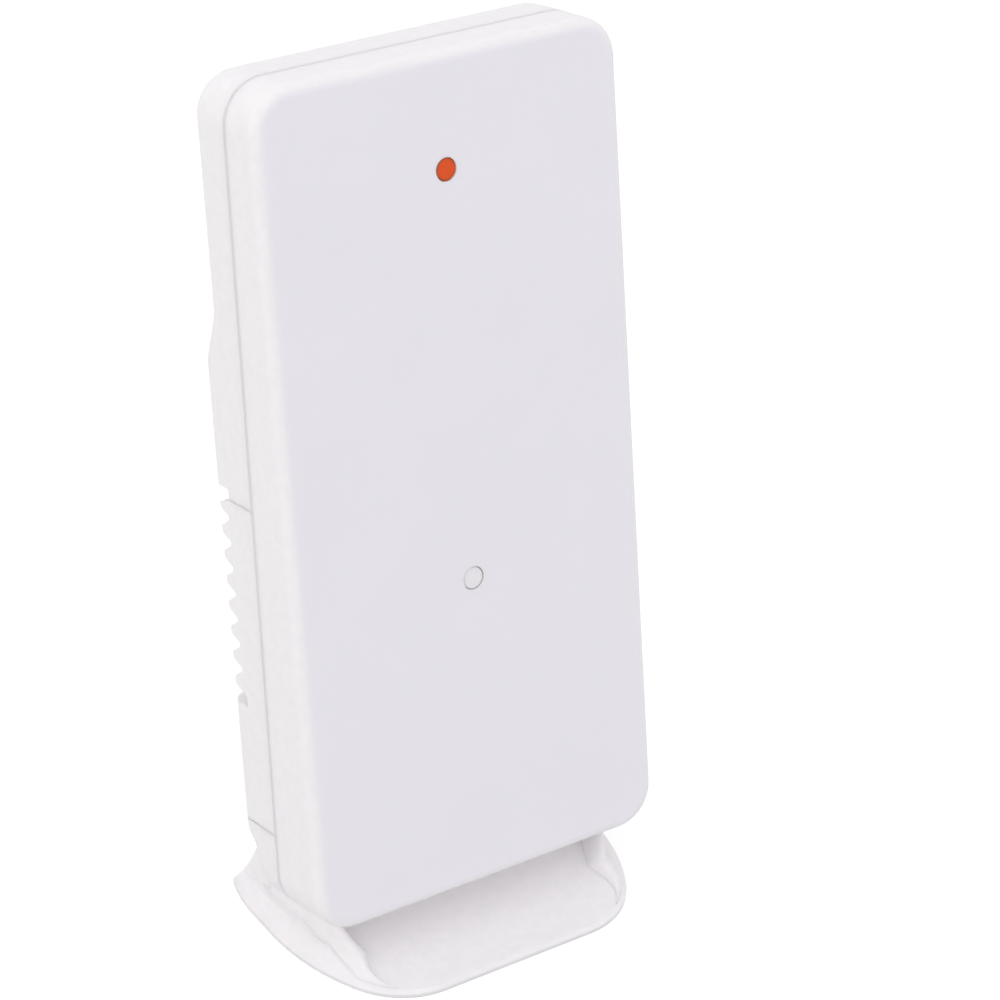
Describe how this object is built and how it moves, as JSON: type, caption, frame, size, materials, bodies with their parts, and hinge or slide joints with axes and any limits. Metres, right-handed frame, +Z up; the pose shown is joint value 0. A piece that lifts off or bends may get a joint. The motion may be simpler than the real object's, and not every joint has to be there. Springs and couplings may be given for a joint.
{
  "type": "outdoor temperature transmitter",
  "caption": "Flat radio temperature sensor leaning in a lift-off stand, with lamp, test button, ribbed battery door, keyhole and full inside.",
  "frame": {"origin": "middle of the stand underside, on the surface it stands on", "axes": "+Z up, the front face with lamp and button looks towards -Y and leans back 15 degrees, +X to the right seen from the front"},
  "size_m": [0.0576, 0.0537, 0.1251],
  "materials": {
    "stand_plastic": "satin moulded white ABS",
    "front_plastic": "smooth satin white ABS",
    "back_plastic": "finely spark-eroded white ABS",
    "door_plastic": "finely spark-eroded white ABS",
    "board": "green solder mask on glass-fibre board",
    "screw_zinc": "bright zinc plate",
    "led_epoxy": "tinted clear epoxy",
    "tinned_wire": "solder-tinned steel",
    "button_plastic": "satin moulded white ABS",
    "plunger_plastic": "black acetal",
    "switch_plastic": "black glass-filled nylon",
    "glob_epoxy": "black potting epoxy",
    "module_board": "blue solder mask",
    "can_steel": "tinned steel shield",
    "antenna_copper": "enamelled copper",
    "crystal_can": "nickel-plated can",
    "capacitor_sleeve": "heat-shrunk sleeve",
    "capacitor_ceramic": "sintered ceramic",
    "resistor_body": "glazed ceramic",
    "bead_epoxy": "dipped epoxy bead",
    "cell_jacket": "plain printed-film cell jacket without text",
    "contact_nickel": "nickel-plated spring steel"
  },
  "bodies": {
    "stand": {"stand": "stand_plastic"},
    "housing": {"front_shell": "front_plastic", "back_shell": "back_plastic", "circuit_board": "board", "board_screws": "screw_zinc", "led": "led_epoxy", "led_leads": "tinned_wire", "tact_switch": "switch_plastic", "chip_glob_top": "glob_epoxy", "radio_module": "module_board", "radio_can": "can_steel", "antenna_wire": "antenna_copper", "crystal": "crystal_can", "electrolytic_capacitor": "capacitor_sleeve", "ceramic_capacitors": "capacitor_ceramic", "chip_resistors": "resistor_body", "thermistor": "bead_epoxy", "thermistor_leads": "tinned_wire", "battery_1": "cell_jacket", "battery_2": "cell_jacket", "bridge_contact": "contact_nickel", "positive_terminal": "contact_nickel", "negative_terminal": "contact_nickel", "contact_springs": "contact_nickel", "case_screws": "screw_zinc"},
    "battery_door": {"battery_door": "door_plastic"},
    "test_button": {"test_button": "button_plastic", "switch_plunger": "plunger_plastic"}
  },
  "joints": [
    {"name": "housing_lift", "type": "slide", "parent": "stand", "child": "housing", "axis": [0, 0.2588, 0.9659], "range_m": [0, 0.015]},
    {"name": "battery_door_pull", "type": "slide", "parent": "housing", "child": "battery_door", "axis": [0, 0.9659, -0.2588], "range_m": [0, 0.025]},
    {"name": "test_button_press", "type": "slide", "parent": "housing", "child": "test_button", "axis": [0, 0.9659, -0.2588], "range_m": [0, 0.0003], "stiffness_N_per_m": 800}
  ]
}
